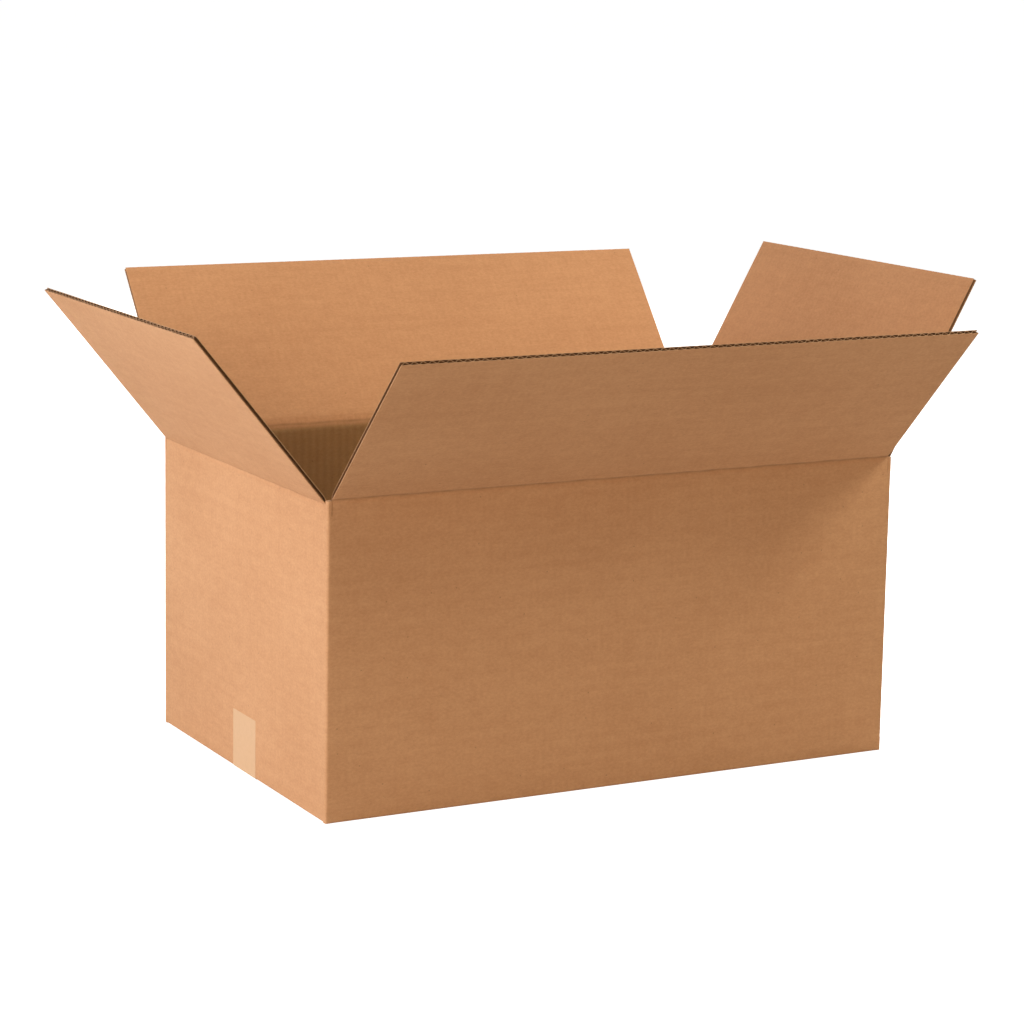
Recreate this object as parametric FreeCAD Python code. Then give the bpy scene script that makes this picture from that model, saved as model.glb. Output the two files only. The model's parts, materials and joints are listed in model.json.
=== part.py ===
# Open cardboard box: a slotted carton of corrugated board whose four top flaps lean outward.
# The bottom flaps are folded shut, and one strip of tape holds them along the middle.
# Millimetres, +Z up. X runs along the long walls, and the origin lies on the floor
# under the middle of the base.

import FreeCAD
import Part
import math
import os

# Box
BOX_LENGTH = 539.0  # outside, along X
BOX_WIDTH = 348.0  # outside, along Y
LONG_CREASE_HEIGHT = 264.15  # from the floor to the crease of the front and back flaps

# Corrugated board
BOARD = 4.0  # whole thickness
LINER = 0.4  # flat paper on each face
MEDIUM = 0.35  # wavy paper between the liners
FLUTE_PITCH = 7.5  # from one wave to the next
CRUSHED_CREASE = 8.0  # stretch beside a crease where the flutes are pressed shut
CORNER_RADIUS = 2.0  # outside of a folded corner
STACK_GAP = 0.3  # air between two layers of board that lie on each other

# Top flaps
LONG_FLAP_INSET = 4.0  # slot cut out of each side of a front or back flap
SLOT_RISE = 3.5  # the slots at the corners stop this far above the lower creases
SLOT_CLEARANCE = 0.4  # between a long flap and the corner beside it
SHORT_FLAP_PLAY = 0.5  # between a shut end flap and the wall beside it
FLAP_MEETING_GAP = 3.0  # between the tips of the front and back flaps when shut
CREASE_MITRE = 46.5  # degrees, bevel on both sides of a top crease
CREASE_PLAY = 0.15  # between a flap's root and its crease line
LEAN_FRONT = 44.6  # degrees outward from upright, as the box stands open
LEAN_BACK = 39.0  # degrees
LEAN_LEFT = 39.4  # degrees
LEAN_RIGHT = 29.2  # degrees

# Bottom flaps
BOTTOM_SEAM = 2.0  # between the tips of the two outer bottom flaps
END_WALL_CLEARANCE = 0.3  # under the fold of an end wall, which bulges down past the outer flaps

# Glued joint that closes the sheet into a ring, inside the back right corner
GLUE_TAB_WIDTH = 35.0
GLUE_TAB_TAPER = 12.0  # how much shorter its free edge is, at each end
GLUE_TAB_CLEARANCE = 4.0  # above the folded bottom and below a shut end flap
RAW_EDGE_DEPTH = 3.0  # open flute in the cut edge of the back wall
RAW_EDGE_SLIT = 0.3  # between that cut edge and the corner fold beside it

# Tape
TAPE_WIDTH = 48.0
TAPE_THICKNESS = 0.15
TAPE_TURN_UP = 51.0  # how far it runs up each end wall
TAPE_SHIFT = 8.5  # it is laid this far off the seam, towards the front

CUTTER_MARGIN = 1.0  # how far a cutting solid stands out of what it cuts

# Levels and places that follow from the sizes above
TAPE_FRONT_EDGE = -TAPE_SHIFT - TAPE_WIDTH / 2
TAPE_BACK_EDGE = -TAPE_SHIFT + TAPE_WIDTH / 2
SHORT_CREASE_HEIGHT = LONG_CREASE_HEIGHT - BOARD - STACK_GAP
INNER_FLAP_LEVEL = BOARD + STACK_GAP
FLOOR_TOP = INNER_FLAP_LEVEL + BOARD
LONG_FLAP_LENGTH = (BOX_WIDTH - FLAP_MEETING_GAP) / 2
SHORT_FLAP_LENGTH = LONG_FLAP_LENGTH + LONG_CREASE_HEIGHT - SHORT_CREASE_HEIGHT
BOTTOM_LONG_FLAP_LENGTH = (BOX_WIDTH - BOTTOM_SEAM) / 2
BOTTOM_SHORT_FLAP_LENGTH = BOTTOM_LONG_FLAP_LENGTH - INNER_FLAP_LEVEL
LONG_FLAP_WIDTH = BOX_LENGTH - 2 * LONG_FLAP_INSET
SHORT_FLAP_WIDTH = BOX_WIDTH - 2 * (BOARD + SHORT_FLAP_PLAY)
MITRE_RISE = BOARD * math.tan(math.radians(CREASE_MITRE))
HALF_LENGTH = BOX_LENGTH / 2
HALF_WIDTH = BOX_WIDTH / 2

ORIGIN = FreeCAD.Vector(0, 0, 0)
X_AXIS = FreeCAD.Vector(1, 0, 0)
Y_AXIS = FreeCAD.Vector(0, 1, 0)
Z_AXIS = FreeCAD.Vector(0, 0, 1)


def block(low, high):
    """A box between two opposite corners."""
    size = [high[axis] - low[axis] for axis in range(3)]
    return Part.makeBox(size[0], size[1], size[2], FreeCAD.Vector(*low))


def polygon(points):
    """A closed wire through points."""
    corners = [FreeCAD.Vector(*point) for point in points]
    return Part.makePolygon(corners + [corners[0]])


def prism(points, path):
    """A polygon pushed along a path."""
    return Part.Face(polygon(points)).extrude(FreeCAD.Vector(*path))


def mirrored_x(shape):
    """The same shape at the other end of the box."""
    return shape.mirror(ORIGIN, X_AXIS)


def flute_section(width, level):
    """Board cut across its flutes: two liners and a zigzag medium, in the plane z = level.

    y = 0 is the outer face. Both side edges run through the widest part of a flute,
    so a dark groove shows along them.
    """
    flute_count = max(1, round(width / FLUTE_PITCH))
    pitch = width / flute_count
    web_slope = (BOARD - 2 * LINER) / (pitch / 2)
    web_half_thickness = MEDIUM / 2 / math.sin(math.atan(web_slope))
    base = pitch / 2 - web_half_thickness
    rise = base * web_slope
    right = width / 2
    outline = [
        (-right, 0, level),
        (right, 0, level),
        (right, LINER, level),
        (right - base, LINER, level),
        (right, LINER + rise, level),
        (right, BOARD, level),
        (-right, BOARD, level),
        (-right, LINER + rise, level),
        (base - right, LINER, level),
        (-right, LINER, level),
    ]
    wires = [polygon(outline)]
    for index in range(2 * flute_count - 1):
        centre = (index + 1) * pitch / 2 - right
        if index % 2 == 0:
            foot = BOARD - LINER
            tip = foot - rise
        else:
            foot = LINER
            tip = foot + rise
        wires.append(polygon([(centre - base, foot, level), (centre + base, foot, level), (centre, tip, level)]))
    return Part.makeFace(wires, "Part::FaceMakerBullseye")


def upright_flap(width, length):
    """A top flap that stands upright, with its crease line on the X axis and its outer face at y = 0."""
    root = prism(
        [
            (-width / 2, 0, CREASE_PLAY),
            (-width / 2, BOARD, CREASE_PLAY + MITRE_RISE),
            (-width / 2, BOARD, CRUSHED_CREASE),
            (-width / 2, 0, CRUSHED_CREASE),
        ],
        (width, 0, 0),
    )
    panel = flute_section(width, CRUSHED_CREASE).extrude(FreeCAD.Vector(0, 0, length - CRUSHED_CREASE))
    return root.fuse(panel).removeSplitter()


def placed_flap(width, length, lean, side_turn, outer_distance, crease_height):
    """A top flap turned outward by its lean and set on the wall that the side turn points to."""
    flap = upright_flap(width, length)
    flap.rotate(ORIGIN, X_AXIS, lean)
    flap.translate(FreeCAD.Vector(0, -outer_distance, crease_height))
    flap.rotate(ORIGIN, Z_AXIS, side_turn)
    return flap


def front_top_flap():
    return placed_flap(LONG_FLAP_WIDTH, LONG_FLAP_LENGTH, LEAN_FRONT, 0, HALF_WIDTH, LONG_CREASE_HEIGHT)


def back_top_flap():
    return placed_flap(LONG_FLAP_WIDTH, LONG_FLAP_LENGTH, LEAN_BACK, 180, HALF_WIDTH, LONG_CREASE_HEIGHT)


def left_top_flap():
    return placed_flap(SHORT_FLAP_WIDTH, SHORT_FLAP_LENGTH, LEAN_LEFT, -90, HALF_LENGTH, SHORT_CREASE_HEIGHT)


def right_top_flap():
    return placed_flap(SHORT_FLAP_WIDTH, SHORT_FLAP_LENGTH, LEAN_RIGHT, 90, HALF_LENGTH, SHORT_CREASE_HEIGHT)


def wall_ring():
    """The four walls, with rounded folds at three corners and a square cut edge at the glued one."""
    outside = block((-HALF_LENGTH, -HALF_WIDTH, 0), (HALF_LENGTH, HALF_WIDTH, LONG_CREASE_HEIGHT))
    folded = []
    for edge in outside.Edges:
        centre = edge.CenterOfMass
        upright = abs(edge.Vertexes[0].Z - edge.Vertexes[1].Z) > BOARD
        glued = centre.x > 0 and centre.y > 0
        if upright and not glued:
            folded.append(edge)
    outside = outside.makeFillet(CORNER_RADIUS, folded)
    inside = block(
        (BOARD - HALF_LENGTH, BOARD - HALF_WIDTH, -CUTTER_MARGIN),
        (HALF_LENGTH - BOARD, HALF_WIDTH - BOARD, LONG_CREASE_HEIGHT + CUTTER_MARGIN),
    )
    return outside.cut(inside)


def end_wall_rounding(side):
    """What is cut away outside the round fold at the foot of the left wall."""
    axis_x = CORNER_RADIUS - HALF_LENGTH
    axis_z = CORNER_RADIUS + END_WALL_CLEARANCE
    corner = block((axis_x - CORNER_RADIUS - CUTTER_MARGIN, -side, -CUTTER_MARGIN), (axis_x, side, axis_z))
    roll = Part.makeCylinder(CORNER_RADIUS, 2 * side, FreeCAD.Vector(axis_x, -side, axis_z), Y_AXIS)
    return corner.cut(roll)


def end_wall_cutters():
    """What is cut away above and below the left wall, and in the slots at its two corners."""
    outer = -HALF_LENGTH - CUTTER_MARGIN
    inner = BOARD - HALF_LENGTH
    top = LONG_CREASE_HEIGHT + CUTTER_MARGIN
    side = HALF_WIDTH - BOARD
    above = block((outer, -side, SHORT_CREASE_HEIGHT), (inner, side, top))
    flap_side = LONG_FLAP_INSET - HALF_LENGTH
    slots = block(
        (outer, -HALF_WIDTH - CUTTER_MARGIN, SHORT_CREASE_HEIGHT + SLOT_RISE),
        (flap_side, HALF_WIDTH + CUTTER_MARGIN, top),
    )
    slits = block(
        (flap_side - SLOT_CLEARANCE, -HALF_WIDTH - CUTTER_MARGIN, SHORT_CREASE_HEIGHT),
        (flap_side, HALF_WIDTH + CUTTER_MARGIN, top),
    )
    mitre = prism(
        [
            (-HALF_LENGTH, -side, SHORT_CREASE_HEIGHT),
            (inner, -side, SHORT_CREASE_HEIGHT - MITRE_RISE),
            (inner, -side, SHORT_CREASE_HEIGHT),
        ],
        (0, 2 * side, 0),
    )
    below = block((outer, -side, -CUTTER_MARGIN), (inner, side, END_WALL_CLEARANCE))
    return [above, slots, slits, mitre, below, end_wall_rounding(side)]


def long_wall_mitre():
    """The bevel inside the top of the front wall."""
    left = LONG_FLAP_INSET - HALF_LENGTH
    inner = BOARD - HALF_WIDTH
    return prism(
        [
            (left, -HALF_WIDTH, LONG_CREASE_HEIGHT),
            (left, inner, LONG_CREASE_HEIGHT - MITRE_RISE),
            (left, inner, LONG_CREASE_HEIGHT),
        ],
        (LONG_FLAP_WIDTH, 0, 0),
    )


def walls():
    """The ring of walls with its top edges, slots and feet."""
    cutters = []
    for cutter in end_wall_cutters():
        cutters.append(cutter)
        cutters.append(mirrored_x(cutter))
    front_mitre = long_wall_mitre()
    back_mitre = front_mitre.copy()
    back_mitre.rotate(ORIGIN, Z_AXIS, 180)
    return wall_ring().cut(cutters + [front_mitre, back_mitre])


def bottom_long_flap():
    """The front one of the two outer bottom flaps, with the round fold under the front wall."""
    end = HALF_LENGTH - BOARD - STACK_GAP
    return block((-end, -HALF_WIDTH, 0), (end, BOTTOM_LONG_FLAP_LENGTH - HALF_WIDTH, BOARD))


def bottom_short_flap():
    """The left one of the two inner bottom flaps."""
    side = HALF_WIDTH - BOARD - SHORT_FLAP_PLAY
    return block((-HALF_LENGTH, -side, INNER_FLAP_LEVEL), (BOTTOM_SHORT_FLAP_LENGTH - HALF_LENGTH, side, FLOOR_TOP))


def glue_tab():
    """The tab of the right wall that is glued inside the back wall, with sloped ends."""
    root = HALF_LENGTH - BOARD
    free = root - GLUE_TAB_WIDTH
    low = FLOOR_TOP + GLUE_TAB_CLEARANCE
    high = SHORT_CREASE_HEIGHT - BOARD - GLUE_TAB_CLEARANCE
    face = HALF_WIDTH - 2 * BOARD
    return prism(
        [
            (root, face, low),
            (root, face, high),
            (free, face, high - GLUE_TAB_TAPER),
            (free, face, low + GLUE_TAB_TAPER),
        ],
        (0, BOARD, 0),
    )


def raw_edge_cutters():
    """The open flute in the cut edge of the back wall, and the slit beside it."""
    inner_face = HALF_WIDTH - BOARD
    bottom = -CUTTER_MARGIN
    top = LONG_CREASE_HEIGHT + CUTTER_MARGIN
    flute = block(
        (HALF_LENGTH - RAW_EDGE_DEPTH, inner_face + LINER, bottom),
        (HALF_LENGTH + CUTTER_MARGIN, HALF_WIDTH - LINER, top),
    )
    slit = block(
        (HALF_LENGTH - RAW_EDGE_DEPTH, inner_face - RAW_EDGE_SLIT, bottom),
        (HALF_LENGTH + CUTTER_MARGIN, inner_face, top),
    )
    return [flute, slit]


def fold_edges(shape):
    """The lower outside edges of the long walls, where the board folds under."""
    edges = []
    for edge in shape.Edges:
        box = edge.BoundBox
        along_x = box.XLength > BOX_LENGTH / 2
        on_floor = box.ZMax < BOARD / 2
        at_face = abs(abs(edge.CenterOfMass.y) - HALF_WIDTH) < BOARD / 4
        if along_x and on_floor and at_face:
            edges.append(edge)
    return edges


def tape_recess():
    """The board gives way by the thickness of the tape, so that the base stays flat."""
    return block(
        (-HALF_LENGTH - CUTTER_MARGIN, TAPE_FRONT_EDGE, -CUTTER_MARGIN),
        (HALF_LENGTH + CUTTER_MARGIN, TAPE_BACK_EDGE, TAPE_THICKNESS),
    )


def box_body():
    """Walls, folded bottom and glued joint: one sheet of board, creased, folded and glued."""
    front_flap = bottom_long_flap()
    back_flap = front_flap.copy()
    back_flap.rotate(ORIGIN, Z_AXIS, 180)
    left_flap = bottom_short_flap()
    right_flap = mirrored_x(left_flap)
    body = walls().fuse([front_flap, back_flap, left_flap, right_flap, glue_tab()])
    body = body.cut(raw_edge_cutters()).removeSplitter()
    body = body.makeFillet(CORNER_RADIUS, fold_edges(body))
    return body.cut(tape_recess())


def lowest_cross_edges(shape):
    """The two edges along which the tape turns up."""
    return [
        edge for edge in shape.Edges
        if edge.BoundBox.ZMax < BOARD and edge.BoundBox.YLength > TAPE_WIDTH / 2
    ]


def bottom_tape():
    """One strip along the bottom seam that turns up both end walls."""
    reach = HALF_LENGTH + TAPE_THICKNESS
    strip = block((-reach, TAPE_FRONT_EDGE, 0), (reach, TAPE_BACK_EDGE, TAPE_TURN_UP))
    hollow = block(
        (-HALF_LENGTH, TAPE_FRONT_EDGE, TAPE_THICKNESS),
        (HALF_LENGTH, TAPE_BACK_EDGE, TAPE_TURN_UP),
    )
    strip = strip.makeFillet(CORNER_RADIUS, lowest_cross_edges(strip))
    hollow = hollow.makeFillet(CORNER_RADIUS - TAPE_THICKNESS, lowest_cross_edges(hollow))
    return strip.cut(hollow)


PIECES = {
    "box_body": box_body,
    "front_top_flap": front_top_flap,
    "back_top_flap": back_top_flap,
    "left_top_flap": left_top_flap,
    "right_top_flap": right_top_flap,
    "bottom_tape": bottom_tape,
}


def one_solid(shape, name):
    """The single solid that a piece is made of."""
    solids = shape.Solids
    if len(solids) != 1:
        raise ValueError(f"{name} has {len(solids)} solids")
    return solids[0]


os.makedirs("parts", exist_ok=True)
for piece_name, make_piece in PIECES.items():
    solid = one_solid(make_piece(), piece_name)
    solid.exportStep(f"parts/{piece_name}.step")
    print(piece_name, "volume", round(solid.Volume), "valid", solid.isValid())
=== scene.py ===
"""Open cardboard box of corrugated board: meshes, materials, light and camera, in metres, +Z up.

Every board surface is laid out on the flat sheet that the box is folded from. "along" runs round the
box, "height" runs up the flutes, and "depth" goes from the outer face into the board.
"""

import json
import math

import bpy
import numpy as np
from mathutils import Matrix, Vector


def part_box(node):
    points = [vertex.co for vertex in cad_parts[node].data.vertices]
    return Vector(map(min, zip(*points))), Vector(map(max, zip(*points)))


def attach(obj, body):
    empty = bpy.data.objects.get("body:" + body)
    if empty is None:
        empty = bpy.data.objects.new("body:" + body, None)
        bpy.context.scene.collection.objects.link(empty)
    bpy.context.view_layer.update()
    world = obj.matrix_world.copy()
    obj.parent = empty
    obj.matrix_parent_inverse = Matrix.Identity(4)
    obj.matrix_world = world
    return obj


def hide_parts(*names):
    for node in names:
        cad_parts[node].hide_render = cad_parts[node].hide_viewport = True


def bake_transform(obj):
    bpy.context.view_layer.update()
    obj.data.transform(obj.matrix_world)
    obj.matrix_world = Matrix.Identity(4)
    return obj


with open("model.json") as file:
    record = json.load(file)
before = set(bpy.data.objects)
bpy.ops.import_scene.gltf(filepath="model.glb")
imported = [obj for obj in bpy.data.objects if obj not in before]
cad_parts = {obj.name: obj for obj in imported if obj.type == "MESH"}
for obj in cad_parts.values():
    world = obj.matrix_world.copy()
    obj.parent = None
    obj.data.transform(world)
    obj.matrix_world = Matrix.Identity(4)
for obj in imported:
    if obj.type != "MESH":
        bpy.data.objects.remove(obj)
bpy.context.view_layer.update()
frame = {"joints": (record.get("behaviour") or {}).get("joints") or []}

MM = 0.001

# Board
BOARD = 4.0 * MM
LINER = 0.38 * MM
MEDIUM = 0.42 * MM
GLUE_OVERLAP = 0.02 * MM  # how far the wavy paper is pressed into the liners
FLUTE_PITCH = 7.5 * MM
COLUMNS_PER_FLUTE = 10
COLUMN = 2.5 * MM  # spacing of columns on the liners of top flaps
WALL_COLUMN = 5.0 * MM  # the same on walls and bottom flaps
WALL_ROW = 6.0 * MM

# Folds
FOLD_RADIUS = 2.0 * MM  # outside of a corner or bottom fold
FOLD_HEART = 0.6 * MM  # inside of such a fold
FOLD_HOLLOW = 0.8 * MM  # where an end wall's fold rises onto the outer bottom flaps
FOLD_REACH = 7.5 * MM  # from the outside corner to where the board is flat again
FOLD_STEPS = 7  # points round a fold
SAME_PLACE = 0.0001 * MM  # points closer together than this are one point
CORNER_FOOT = 0.4 * MM  # the corners stop this far above the floor
CORNER_DENT = 0.126 * MM  # off each of the two walls
CORNER_DENT_WAVE = 22 * MM

# Creases of the top flaps
BEND_REACH = 4.0 * MM  # a crease turns within this distance of its line
STRIP_REACH = 9.0 * MM  # a crease's own mesh ends this far from its line
STRIP_ROWS = 23
STRIP_CROWDING = 1.6  # the power by which these rows are closer together near the line
PRESSED_OUTSIDE = 0.55 * MM
PRESSED_OUTSIDE_WIDTH = 1.1 * MM
PRESSED_INSIDE = 1.7 * MM
PRESSED_INSIDE_WIDTH = 3.5 * MM
PRESSED_FADE = 6 * MM  # the outside of the pressed line fades out over this length
PRESSED_FADE_PAST = 2 * MM  # and would reach this far past the flap's side
CREASE_WANDER = 0.3 * MM
CREASE_WAVE = 60 * MM
CREASE_INSIDE_WAVE = 80 * MM
FLUTE_DENTS = 0.22  # how much deeper the line is pressed where a flute lies under it
PRESSED_UNEVEN = 0.2
PRESSED_WAVE = 45 * MM
# Each crease line is darkened in the paper's colour, by side: partly crushed fibres, partly painted shade in
# the crease
CREASE_MARK_WIDTH = 0.9 * MM
CREASE_MARK_UNEVEN = 0.25
CREASE_MARK_WAVE = 30 * MM
CREASE_WEAR_AND_SHADE_BY_SIDE = {"front": 0.9, "back": 0.9, "left": 0.25, "right": 0.6}

# Cut edges
MEDIUM_SETBACK = 0.15 * MM
MEDIUM_UNEVEN = 0.6
MEDIUM_WAVE = 11 * MM
CUT_WANDER = 0.12 * MM
CUT_WAVE = 9 * MM
BACK_CUT_WAVE = 13 * MM
BACK_CUT_GROOVE = 3.0 * MM  # depth of the open flute at the back wall's cut edge
BACK_CUT_OVERLAP = 3.0 * MM  # how far that edge's liners run into the wall behind the flute
CRUSH = 0.28 * MM  # the knife presses each liner in by this much
CRUSH_REACH = 2.0 * MM
SIDE_COLUMNS = np.array([0.5, 1.2]) * MM  # extra columns of a top flap, from its side edges
TIP_ROWS = np.array([5, 3, 1.8, 0.9, 0.4, 0]) * MM  # last rows of a top flap, from its cut end
FLAP_ROW = 14 * MM
FIRST_FLAP_ROW = 18 * MM  # from the crease
LAST_FLAP_ROW = 8 * MM  # from the cut end

# Warp. Each wavelength has its share of the unevenness.
FLAP_BOW = 0.28 * MM  # less than the gap between shut flaps
FLAP_BOW_RISE = 122.5 * MM  # the bow is full this far from the creased strip
FLAP_BOW_MEAN = 0.5
FLAP_BOW_WAVES = ((400 * MM, 0.3, 1), (120 * MM, 0.2, 5))  # wavelength, share and seed
WALL_WARP = 0.35 * MM
WARP_LONG_WAVES = (500 * MM, 400 * MM)  # along and up
WARP_LONG_SHARE = 0.6
WARP_SLANTED_WAVE = 210 * MM
WARP_FADE_UP = 60 * MM
WARP_FADE_ALONG = 80 * MM

# Places that follow from the frame
body_low, body_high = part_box("box_body")
HALF_LENGTH = body_high[0]
HALF_WIDTH = body_high[1]
STACK_GAP = 0.3 * MM
INNER_FLAP_LEVEL = BOARD + STACK_GAP
END_WALL_CLEARANCE = 0.3 * MM
LONG_FLAP_INSET = 4.0 * MM
SLOT_CLEARANCE = 0.4 * MM
SHORT_FLAP_PLAY = 0.5 * MM
TOP_SEAM = 3.0 * MM
BOTTOM_SEAM = 2.0 * MM
GLUE_TAB_WIDTH = 35.0 * MM
GLUE_TAB_TAPER = 12.0 * MM
GLUE_TAB_CLEARANCE = 4.0 * MM
GLUE_TAB_COLUMNS = np.array([15, 25]) * MM
GLUE_TAB_ROWS = 40
SHORT_FLAP_SIDE = HALF_WIDTH - BOARD - SHORT_FLAP_PLAY
LONG_FLAP_SIDE = HALF_LENGTH - LONG_FLAP_INSET

joints = {joint["name"]: joint for joint in frame["joints"]}
LONG_CREASE = joints["front_flap_hinge"]["pos_m"][2]
SHORT_CREASE = joints["left_flap_hinge"]["pos_m"][2]
WALL_TOP = SHORT_CREASE - STRIP_REACH
WALL_FOOT = 12.0 * MM  # the folds at the bottom lie below this
SLOT_RISE = 3.5 * MM
SLOT_BOTTOM = SHORT_CREASE + SLOT_RISE
UP = Vector((0, 0, 1))

OUTER_PAPER, INNER_PAPER, WAVY_PAPER, CUT_PAPER = range(4)
# Depth of each flat liner, and its papers on the outer face, the inner face and the edges
LINERS = [(0, (OUTER_PAPER, WAVY_PAPER, CUT_PAPER)), (BOARD - LINER, (WAVY_PAPER, INNER_PAPER, CUT_PAPER))]
SHEET_MAP = "sheet"
# this attribute carries the darkening along the creases: partly crushed fibres, partly painted shade
CREASE_WEAR_AND_SHADE_MARK = "pressed"  # 1 where paper is creased, 0 where it is smooth
INSIDE_SHIFT = np.array([3.0, 0])  # the inner liner lies this far along on the sheet map
SHARP_ANGLE = math.radians(35)  # edges are smoothed where the mesh turns by less


# A wander is a sum of sine waves
WANDER_WAVES = 4
WANDER_BASE = 0.6  # waves in a wavelength, and how many more each further sine has
WANDER_STEP = 0.37
WANDER_SEED_TURN = 12.9898  # radians that a seed turns each sine, and that set one sine off the next
WANDER_TURN = 4.1
WANDER_HEIGHT = 1.28


def wander(distance, wavelength, seed):
    """A smooth uneven curve between about -1 and 1."""
    total = 0
    for index in range(1, WANDER_WAVES + 1):
        phase = seed * WANDER_SEED_TURN * index + WANDER_TURN * index * index
        turn = 2 * math.pi * distance * (WANDER_BASE + WANDER_STEP * index) / wavelength
        total = total + np.sin(turn + phase) / (index + 1)
    return total / WANDER_HEIGHT


def smoothstep(value):
    value = np.clip(value, 0, 1)
    return value * value * (3 - 2 * value)


class SheetMesh:
    """A mesh that grows slab by slab, with a map of the flat sheet."""

    def __init__(self):
        self.points = []
        self.faces = []
        self.maps = []
        self.papers = []
        # pressed holds the darkening along the creases: partly crushed fibres, partly painted shade
        self.pressed = []
        self.count = 0

    def slab(self, outer, inner, sheet_outer, sheet_inner, papers, pressed=None):
        """A closed slab between two grids of points. Rows go up and columns go along."""
        rows, columns = outer.shape[:2]
        near = self.count + np.arange(rows * columns).reshape(rows, columns)
        far = near + rows * columns
        self.count += 2 * rows * columns
        self.points += [outer.reshape(-1, 3), inner.reshape(-1, 3)]
        crease_wear_and_shade_marks = np.zeros((rows, columns)) if pressed is None else pressed
        self.pressed += [crease_wear_and_shade_marks.ravel(), crease_wear_and_shade_marks.ravel()]
        thick = np.linalg.norm(outer - inner, axis=2)
        edge_map = sheet_outer + np.stack([thick, thick], axis=2)
        sheets = np.concatenate([sheet_outer.reshape(-1, 2), sheet_inner.reshape(-1, 2)])
        edges = np.concatenate([sheet_outer.reshape(-1, 2), edge_map.reshape(-1, 2)])
        first = near[0, 0]
        outer_faces = quads(near)
        inner_faces = quads(far)[:, ::-1]
        self.add(outer_faces, sheets, first, papers[0])
        self.add(inner_faces, sheets, first, papers[1])
        sides = [
            np.stack([far[0, :-1], far[0, 1:], near[0, 1:], near[0, :-1]], 1),
            np.stack([near[-1, :-1], near[-1, 1:], far[-1, 1:], far[-1, :-1]], 1),
            np.stack([far[:-1, 0], near[:-1, 0], near[1:, 0], far[1:, 0]], 1),
            np.stack([near[:-1, -1], far[:-1, -1], far[1:, -1], near[1:, -1]], 1),
        ]
        for side in sides:
            self.add(side, edges, first, papers[2])

    def add(self, faces, sheets, first, paper):
        self.faces.append(faces)
        self.maps.append(sheets[faces - first])
        self.papers.append(np.full(len(faces), paper))

    def make(self, name, materials):
        points = np.concatenate(self.points)
        faces = np.concatenate(self.faces)
        mesh = bpy.data.meshes.new(name)
        mesh.from_pydata(points.tolist(), [], faces.tolist())
        layer = mesh.uv_layers.new(name=SHEET_MAP)
        layer.uv.foreach_set("vector", np.concatenate(self.maps).astype(np.float32).ravel())
        for material in materials:
            mesh.materials.append(material)
        mesh.polygons.foreach_set("material_index", np.concatenate(self.papers).astype(np.int32))
        mesh.polygons.foreach_set("use_smooth", np.ones(len(faces), bool))
        crease_wear_and_shade_marks = mesh.attributes.new(CREASE_WEAR_AND_SHADE_MARK, "FLOAT", "POINT")
        crease_wear_and_shade_marks.data.foreach_set("value", np.concatenate(self.pressed).astype(np.float32))
        mesh.set_sharp_from_angle(angle=SHARP_ANGLE)
        mesh.update()
        piece = bpy.data.objects.new(name, mesh)
        bpy.context.scene.collection.objects.link(piece)
        return piece


def quads(grid):
    return np.stack([grid[:-1, :-1], grid[:-1, 1:], grid[1:, 1:], grid[1:, :-1]], 2).reshape(-1, 4)


def sheet_grid(along, height, start):
    return np.stack([along + start, height], axis=2)


def flute_wave(along, reach, flutes, top, bottom):
    """Depth of the middle of the wavy paper between two depths, and half its thickness measured in depth."""
    swing = np.maximum((bottom - top - MEDIUM) / 2, 0)
    turn = 2 * math.pi * flutes * (along + reach) / (2 * reach)
    slope = swing * np.sin(turn) * 2 * math.pi / FLUTE_PITCH
    half = np.minimum(MEDIUM / 2 * np.sqrt(1 + slope**2), MEDIUM)
    return (top + bottom) / 2 - swing * np.cos(turn), half


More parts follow.
